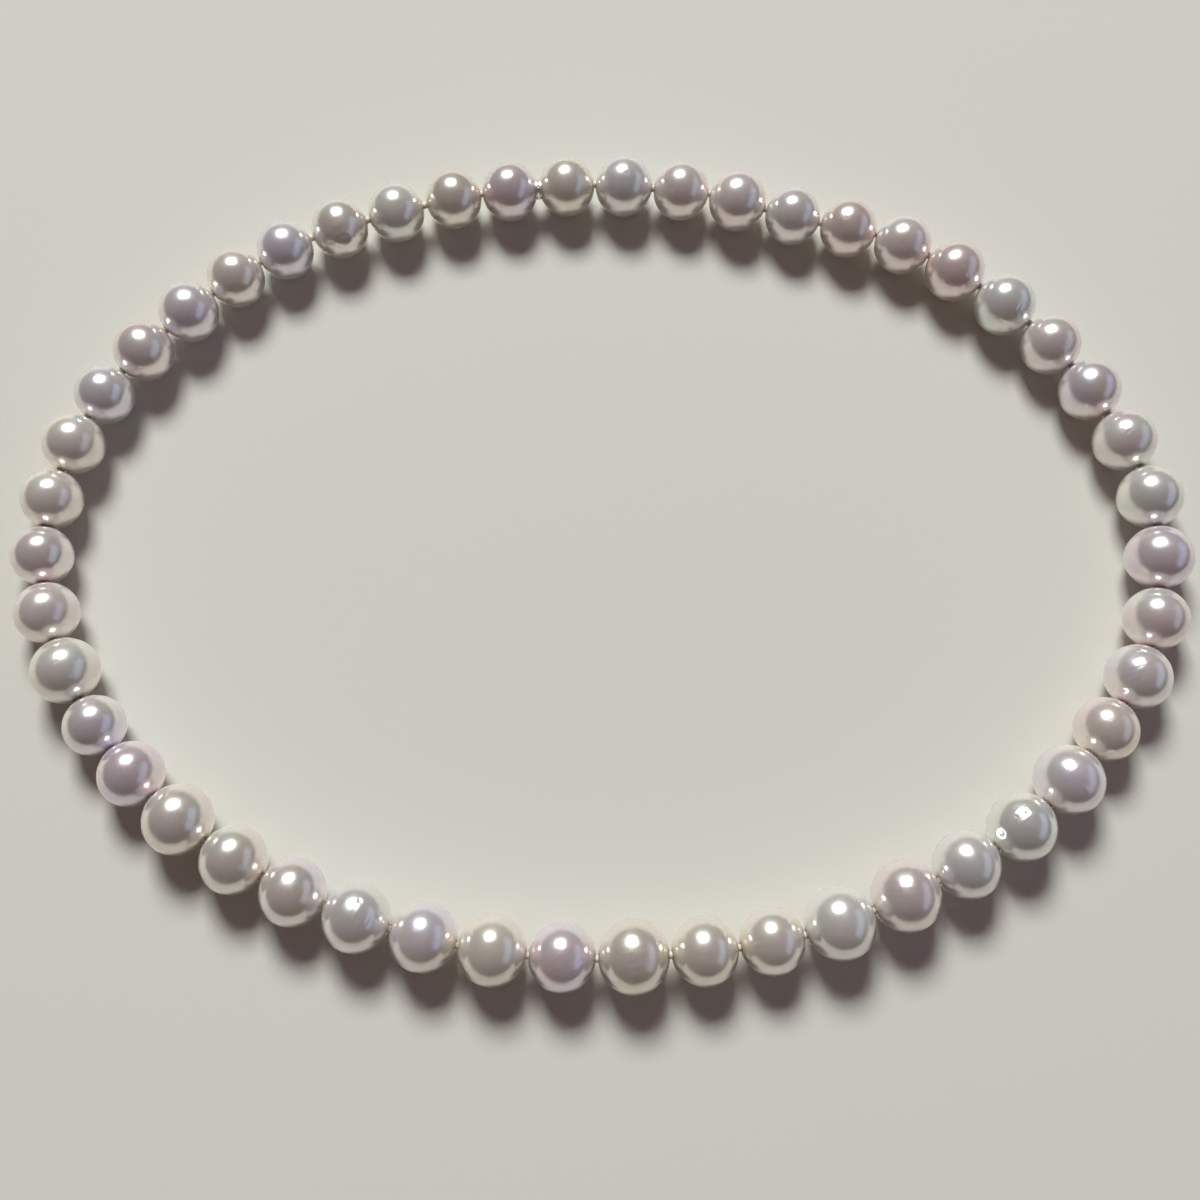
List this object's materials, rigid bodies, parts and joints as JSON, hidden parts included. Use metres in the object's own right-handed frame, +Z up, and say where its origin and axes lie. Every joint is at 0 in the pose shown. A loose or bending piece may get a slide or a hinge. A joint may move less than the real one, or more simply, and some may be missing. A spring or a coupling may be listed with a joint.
{
  "type": "pearl necklace",
  "caption": "Closed strand of round white pearls, graduated to the front, knotted on silk, with a snap clasp hidden inside the two back pearls.",
  "frame": {"origin": "on the surface that the strand lies on, under the middle of its bounding box", "axes": "+X to the wearer's left as the strand lies face up, along its widest extent; +Y from the front pearls to the clasp at the back; +Z up from the surface, the strand's shortest extent"},
  "size_m": [0.1554, 0.1156, 0.0092],
  "materials": {
    "pearl_nacre": "polished",
    "silk": "satin",
    "clasp_white_gold": "polished",
    "spring_steel": "satin"
  },
  "bodies": {
    "pearl_01": {"pearl_01": "pearl_nacre", "clasp_socket": "clasp_white_gold", "clasp_snap_ring": "spring_steel", "clasp_socket_cap": "clasp_white_gold"},
    "pearl_02": {"pearl_02": "pearl_nacre"},
    "pearl_03": {"pearl_03": "pearl_nacre"},
    "pearl_04": {"pearl_04": "pearl_nacre"},
    "pearl_05": {"pearl_05": "pearl_nacre"},
    "pearl_06": {"pearl_06": "pearl_nacre"},
    "pearl_07": {"pearl_07": "pearl_nacre"},
    "pearl_08": {"pearl_08": "pearl_nacre"},
    "pearl_09": {"pearl_09": "pearl_nacre"},
    "pearl_10": {"pearl_10": "pearl_nacre"},
    "pearl_11": {"pearl_11": "pearl_nacre"},
    "pearl_12": {"pearl_12": "pearl_nacre"},
    "pearl_13": {"pearl_13": "pearl_nacre"},
    "pearl_14": {"pearl_14": "pearl_nacre"},
    "pearl_15": {"pearl_15": "pearl_nacre"},
    "pearl_16": {"pearl_16": "pearl_nacre"},
    "pearl_17": {"pearl_17": "pearl_nacre"},
    "pearl_18": {"pearl_18": "pearl_nacre"},
    "pearl_19": {"pearl_19": "pearl_nacre"},
    "pearl_20": {"pearl_20": "pearl_nacre"},
    "pearl_21": {"pearl_21": "pearl_nacre"},
    "pearl_22": {"pearl_22": "pearl_nacre"},
    "pearl_23": {"pearl_23": "pearl_nacre"},
    "pearl_24": {"pearl_24": "pearl_nacre"},
    "pearl_25": {"pearl_25": "pearl_nacre", "silk_thread": "silk"},
    "pearl_26": {"pearl_26": "pearl_nacre"},
    "pearl_27": {"pearl_27": "pearl_nacre"},
    "pearl_28": {"pearl_28": "pearl_nacre"},
    "pearl_29": {"pearl_29": "pearl_nacre"},
    "pearl_30": {"pearl_30": "pearl_nacre"},
    "pearl_31": {"pearl_31": "pearl_nacre"},
    "pearl_32": {"pearl_32": "pearl_nacre"},
    "pearl_33": {"pearl_33": "pearl_nacre"},
    "pearl_34": {"pearl_34": "pearl_nacre"},
    "pearl_35": {"pearl_35": "pearl_nacre"},
    "pearl_36": {"pearl_36": "pearl_nacre"},
    "pearl_37": {"pearl_37": "pearl_nacre"},
    "pearl_38": {"pearl_38": "pearl_nacre"},
    "pearl_39": {"pearl_39": "pearl_nacre"},
    "pearl_40": {"pearl_40": "pearl_nacre"},
    "pearl_41": {"pearl_41": "pearl_nacre"},
    "pearl_42": {"pearl_42": "pearl_nacre"},
    "pearl_43": {"pearl_43": "pearl_nacre"},
    "pearl_44": {"pearl_44": "pearl_nacre"},
    "pearl_45": {"pearl_45": "pearl_nacre"},
    "pearl_46": {"pearl_46": "pearl_nacre"},
    "pearl_47": {"pearl_47": "pearl_nacre"},
    "pearl_48": {"pearl_48": "pearl_nacre", "clasp_post": "clasp_white_gold", "clasp_post_cap": "clasp_white_gold"}
  },
  "joints": [
    {"name": "knot_25", "type": "hinge", "parent": "pearl_25", "child": "pearl_26", "pos_m": [-0.00377, -0.0532, 0.00444], "axis": [0, 0, 1], "range_deg": [0, 5.37]},
    {"name": "knot_26", "type": "hinge", "parent": "pearl_26", "child": "pearl_27", "pos_m": [-0.01218, -0.05241, 0.00436], "axis": [0, 0, 1], "range_deg": [0, 5.42]},
    {"name": "knot_27", "type": "hinge", "parent": "pearl_27", "child": "pearl_28", "pos_m": [-0.02067, -0.0508, 0.00437], "axis": [0, 0, 1], "range_deg": [0, 5.12]},
    {"name": "knot_28", "type": "hinge", "parent": "pearl_28", "child": "pearl_29", "pos_m": [-0.02886, -0.04847, 0.00436], "axis": [0, 0, 1], "range_deg": [0, 5.11]},
    {"name": "knot_29", "type": "hinge", "parent": "pearl_29", "child": "pearl_30", "pos_m": [-0.03687, -0.0454, 0.00434], "axis": [0, 0, 1], "range_deg": [0, 6.11]},
    {"name": "knot_30", "type": "hinge", "parent": "pearl_30", "child": "pearl_31", "pos_m": [-0.04439, -0.04155, 0.00432], "axis": [0, 0, 1], "range_deg": [0, 6.27]},
    {"name": "knot_31", "type": "hinge", "parent": "pearl_31", "child": "pearl_32", "pos_m": [-0.0515, -0.03687, 0.00443], "axis": [0, 0, 1], "range_deg": [0, 7.75]},
    {"name": "knot_32", "type": "hinge", "parent": "pearl_32", "child": "pearl_33", "pos_m": [-0.05817, -0.03105, 0.00438], "axis": [0, 0, 1], "range_deg": [0, 7.44]},
    {"name": "knot_33", "type": "hinge", "parent": "pearl_33", "child": "pearl_34", "pos_m": [-0.06367, -0.02482, 0.00411], "axis": [0, 0, 1], "range_deg": [0, 8.71]},
    {"name": "knot_34", "type": "hinge", "parent": "pearl_34", "child": "pearl_35", "pos_m": [-0.06792, -0.01821, 0.00419], "axis": [0, 0, 1], "range_deg": [0, 8.24]},
    {"name": "knot_35", "type": "hinge", "parent": "pearl_35", "child": "pearl_36", "pos_m": [-0.07149, -0.01039, 0.00426], "axis": [0, 0, 1], "range_deg": [0, 9.53]},
    {"name": "knot_36", "type": "hinge", "parent": "pearl_36", "child": "pearl_37", "pos_m": [-0.07359, -0.00253, 0.00408], "axis": [0, 0, 1], "range_deg": [0, 13.81]},
    {"name": "strand_opening", "type": "hinge", "parent": "pearl_37", "child": "pearl_38", "pos_m": [-0.07376, 0.00535, 0.00405], "axis": [0, 0, 1], "range_deg": [0, 14.68], "deforming": ["silk_thread", "clasp_snap_ring"]},
    {"name": "knot_38", "type": "hinge", "parent": "pearl_38", "child": "pearl_39", "pos_m": [-0.07189, 0.01315, 0.00412], "axis": [0, 0, 1], "range_deg": [0, 8.51]},
    {"name": "knot_39", "type": "hinge", "parent": "pearl_39", "child": "pearl_40", "pos_m": [-0.06882, 0.02072, 0.00409], "axis": [0, 0, 1], "range_deg": [0, 11.41]},
    {"name": "knot_40", "type": "hinge", "parent": "pearl_40", "child": "pearl_41", "pos_m": [-0.06447, 0.02732, 0.00409], "axis": [0, 0, 1], "range_deg": [0, 10.76]},
    {"name": "knot_41", "type": "hinge", "parent": "pearl_41", "child": "pearl_42", "pos_m": [-0.05878, 0.03318, 0.00417], "axis": [0, 0, 1], "range_deg": [0, 4.52]},
    {"name": "knot_42", "type": "hinge", "parent": "pearl_42", "child": "pearl_43", "pos_m": [-0.05261, 0.0386, 0.00412], "axis": [0, 0, 1], "range_deg": [0, 5.39]},
    {"name": "knot_43", "type": "hinge", "parent": "pearl_43", "child": "pearl_44", "pos_m": [-0.04615, 0.04327, 0.00405], "axis": [0, 0, 1], "range_deg": [0, 9.7]},
    {"name": "knot_44", "type": "hinge", "parent": "pearl_44", "child": "pearl_45", "pos_m": [-0.03895, 0.04682, 0.00408], "axis": [0, 0, 1], "range_deg": [0, 8.49]},
    {"name": "knot_45", "type": "hinge", "parent": "pearl_45", "child": "pearl_46", "pos_m": [-0.03106, 0.04934, 0.00412], "axis": [0, 0, 1], "range_deg": [0, 3.19]},
    {"name": "knot_46", "type": "hinge", "parent": "pearl_46", "child": "pearl_47", "pos_m": [-0.02305, 0.05142, 0.00411], "axis": [0, 0, 1], "range_deg": [0, 4.04]},
    {"name": "knot_47", "type": "hinge", "parent": "pearl_47", "child": "pearl_48", "pos_m": [-0.015, 0.05291, 0.00411], "axis": [0, 0, 1], "range_deg": [0, 7.22]},
    {"name": "knot_24", "type": "hinge", "parent": "pearl_25", "child": "pearl_24", "pos_m": [0.00519, -0.05319, 0.00444], "axis": [0, 0, 1], "range_deg": [-3.21, 0]},
    {"name": "knot_23", "type": "hinge", "parent": "pearl_24", "child": "pearl_23", "pos_m": [0.01364, -0.05271, 0.00426], "axis": [0, 0, 1], "range_deg": [-4.43, 0]},
    {"name": "knot_22", "type": "hinge", "parent": "pearl_23", "child": "pearl_22", "pos_m": [0.02181, -0.05161, 0.00441], "axis": [0, 0, 1], "range_deg": [-8.22, 0]},
    {"name": "knot_21", "type": "hinge", "parent": "pearl_22", "child": "pearl_21", "pos_m": [0.0305, -0.04913, 0.00458], "axis": [0, 0, 1], "range_deg": [-5.09, 0]},
    {"name": "knot_20", "type": "hinge", "parent": "pearl_21", "child": "pearl_20", "pos_m": [0.03882, -0.04594, 0.00446], "axis": [0, 0, 1], "range_deg": [-4.71, 0]},
    {"name": "knot_19", "type": "hinge", "parent": "pearl_20", "child": "pearl_19", "pos_m": [0.04656, -0.04221, 0.00442], "axis": [0, 0, 1], "range_deg": [-8.9, 0]},
    {"name": "knot_18", "type": "hinge", "parent": "pearl_19", "child": "pearl_18", "pos_m": [0.05376, -0.03724, 0.0045], "axis": [0, 0, 1], "range_deg": [-10.23, 0]},
    {"name": "knot_17", "type": "hinge", "parent": "pearl_18", "child": "pearl_17", "pos_m": [0.06008, -0.03096, 0.00438], "axis": [0, 0, 1], "range_deg": [-4.93, 0]},
    {"name": "knot_16", "type": "hinge", "parent": "pearl_17", "child": "pearl_16", "pos_m": [0.06541, -0.02466, 0.00427], "axis": [0, 0, 1], "range_deg": [-5.2, 0]},
    {"name": "knot_15", "type": "hinge", "parent": "pearl_16", "child": "pearl_15", "pos_m": [0.07034, -0.01763, 0.0043], "axis": [0, 0, 1], "range_deg": [-19.33, 0]},
    {"name": "knot_14", "type": "hinge", "parent": "pearl_15", "child": "pearl_14", "pos_m": [0.07262, -0.00952, 0.00434], "axis": [0, 0, 1], "range_deg": [-8.66, 0]},
    {"name": "knot_13", "type": "hinge", "parent": "pearl_14", "child": "pearl_13", "pos_m": [0.07368, -0.00089, 0.00439], "axis": [0, 0, 1], "range_deg": [-12.73, 0]},
    {"name": "knot_12", "type": "hinge", "parent": "pearl_13", "child": "pearl_12", "pos_m": [0.07283, 0.00768, 0.00434], "axis": [0, 0, 1], "range_deg": [-18.36, 0]},
    {"name": "knot_11", "type": "hinge", "parent": "pearl_12", "child": "pearl_11", "pos_m": [0.06934, 0.0155, 0.00431], "axis": [0, 0, 1], "range_deg": [-3.6, 0]},
    {"name": "knot_10", "type": "hinge", "parent": "pearl_11", "child": "pearl_10", "pos_m": [0.06544, 0.02296, 0.00425], "axis": [0, 0, 1], "range_deg": [-9.25, 0]},
    {"name": "knot_09", "type": "hinge", "parent": "pearl_10", "child": "pearl_09", "pos_m": [0.06046, 0.0296, 0.00427], "axis": [0, 0, 1], "range_deg": [-9.67, 0]},
    {"name": "knot_08", "type": "hinge", "parent": "pearl_09", "child": "pearl_08", "pos_m": [0.05426, 0.03547, 0.0043], "axis": [0, 0, 1], "range_deg": [-4.98, 0]},
    {"name": "knot_07", "type": "hinge", "parent": "pearl_08", "child": "pearl_07", "pos_m": [0.04771, 0.04067, 0.00419], "axis": [0, 0, 1], "range_deg": [-10.79, 0]},
    {"name": "knot_06", "type": "hinge", "parent": "pearl_07", "child": "pearl_06", "pos_m": [0.04053, 0.04444, 0.00412], "axis": [0, 0, 1], "range_deg": [-12.67, 0]},
    {"name": "knot_05", "type": "hinge", "parent": "pearl_06", "child": "pearl_05", "pos_m": [0.03273, 0.04653, 0.00407], "axis": [0, 0, 1], "range_deg": [0, 3.05]},
    {"name": "knot_04", "type": "hinge", "parent": "pearl_05", "child": "pearl_04", "pos_m": [0.02519, 0.049, 0.00413], "axis": [0, 0, 1], "range_deg": [0, 1.35]},
    {"name": "knot_03", "type": "hinge", "parent": "pearl_04", "child": "pearl_03", "pos_m": [0.01735, 0.05176, 0.00417], "axis": [0, 0, 1], "range_deg": [-11.39, 0]},
    {"name": "knot_02", "type": "hinge", "parent": "pearl_03", "child": "pearl_02", "pos_m": [0.00935, 0.05289, 0.00416], "axis": [0, 0, 1], "range_deg": [-1.47, 0]},
    {"name": "knot_01", "type": "hinge", "parent": "pearl_02", "child": "pearl_01", "pos_m": [0.00113, 0.05384, 0.00416], "axis": [0, 0, 1], "range_deg": [-9.85, 0]}
  ],
  "couplings": [
    {"joint": "knot_25", "follows": "strand_opening", "ratio": 0.366},
    {"joint": "knot_26", "follows": "strand_opening", "ratio": 0.369},
    {"joint": "knot_27", "follows": "strand_opening", "ratio": 0.349},
    {"joint": "knot_28", "follows": "strand_opening", "ratio": 0.348},
    {"joint": "knot_29", "follows": "strand_opening", "ratio": 0.416},
    {"joint": "knot_30", "follows": "strand_opening", "ratio": 0.427},
    {"joint": "knot_31", "follows": "strand_opening", "ratio": 0.528},
    {"joint": "knot_32", "follows": "strand_opening", "ratio": 0.507},
    {"joint": "knot_33", "follows": "strand_opening", "ratio": 0.593},
    {"joint": "knot_34", "follows": "strand_opening", "ratio": 0.561},
    {"joint": "knot_35", "follows": "strand_opening", "ratio": 0.649},
    {"joint": "knot_36", "follows": "strand_opening", "ratio": 0.941},
    {"joint": "knot_38", "follows": "strand_opening", "ratio": 0.58},
    {"joint": "knot_39", "follows": "strand_opening", "ratio": 0.777},
    {"joint": "knot_40", "follows": "strand_opening", "ratio": 0.733},
    {"joint": "knot_41", "follows": "strand_opening", "ratio": 0.308},
    {"joint": "knot_42", "follows": "strand_opening", "ratio": 0.367},
    {"joint": "knot_43", "follows": "strand_opening", "ratio": 0.661},
    {"joint": "knot_44", "follows": "strand_opening", "ratio": 0.578},
    {"joint": "knot_45", "follows": "strand_opening", "ratio": 0.217},
    {"joint": "knot_46", "follows": "strand_opening", "ratio": 0.275},
    {"joint": "knot_47", "follows": "strand_opening", "ratio": 0.492},
    {"joint": "knot_24", "follows": "strand_opening", "ratio": -0.219},
    {"joint": "knot_23", "follows": "strand_opening", "ratio": -0.302},
    {"joint": "knot_22", "follows": "strand_opening", "ratio": -0.56},
    {"joint": "knot_21", "follows": "strand_opening", "ratio": -0.347},
    {"joint": "knot_20", "follows": "strand_opening", "ratio": -0.321},
    {"joint": "knot_19", "follows": "strand_opening", "ratio": -0.606},
    {"joint": "knot_18", "follows": "strand_opening", "ratio": -0.697},
    {"joint": "knot_17", "follows": "strand_opening", "ratio": -0.336},
    {"joint": "knot_16", "follows": "strand_opening", "ratio": -0.354},
    {"joint": "knot_15", "follows": "strand_opening", "ratio": -1.317},
    {"joint": "knot_14", "follows": "strand_opening", "ratio": -0.59},
    {"joint": "knot_13", "follows": "strand_opening", "ratio": -0.867},
    {"joint": "knot_12", "follows": "strand_opening", "ratio": -1.251},
    {"joint": "knot_11", "follows": "strand_opening", "ratio": -0.245},
    {"joint": "knot_10", "follows": "strand_opening", "ratio": -0.63},
    {"joint": "knot_09", "follows": "strand_opening", "ratio": -0.659},
    {"joint": "knot_08", "follows": "strand_opening", "ratio": -0.339},
    {"joint": "knot_07", "follows": "strand_opening", "ratio": -0.735},
    {"joint": "knot_06", "follows": "strand_opening", "ratio": -0.863},
    {"joint": "knot_05", "follows": "strand_opening", "ratio": 0.208},
    {"joint": "knot_04", "follows": "strand_opening", "ratio": 0.092},
    {"joint": "knot_03", "follows": "strand_opening", "ratio": -0.776},
    {"joint": "knot_02", "follows": "strand_opening", "ratio": -0.1},
    {"joint": "knot_01", "follows": "strand_opening", "ratio": -0.671}
  ]
}
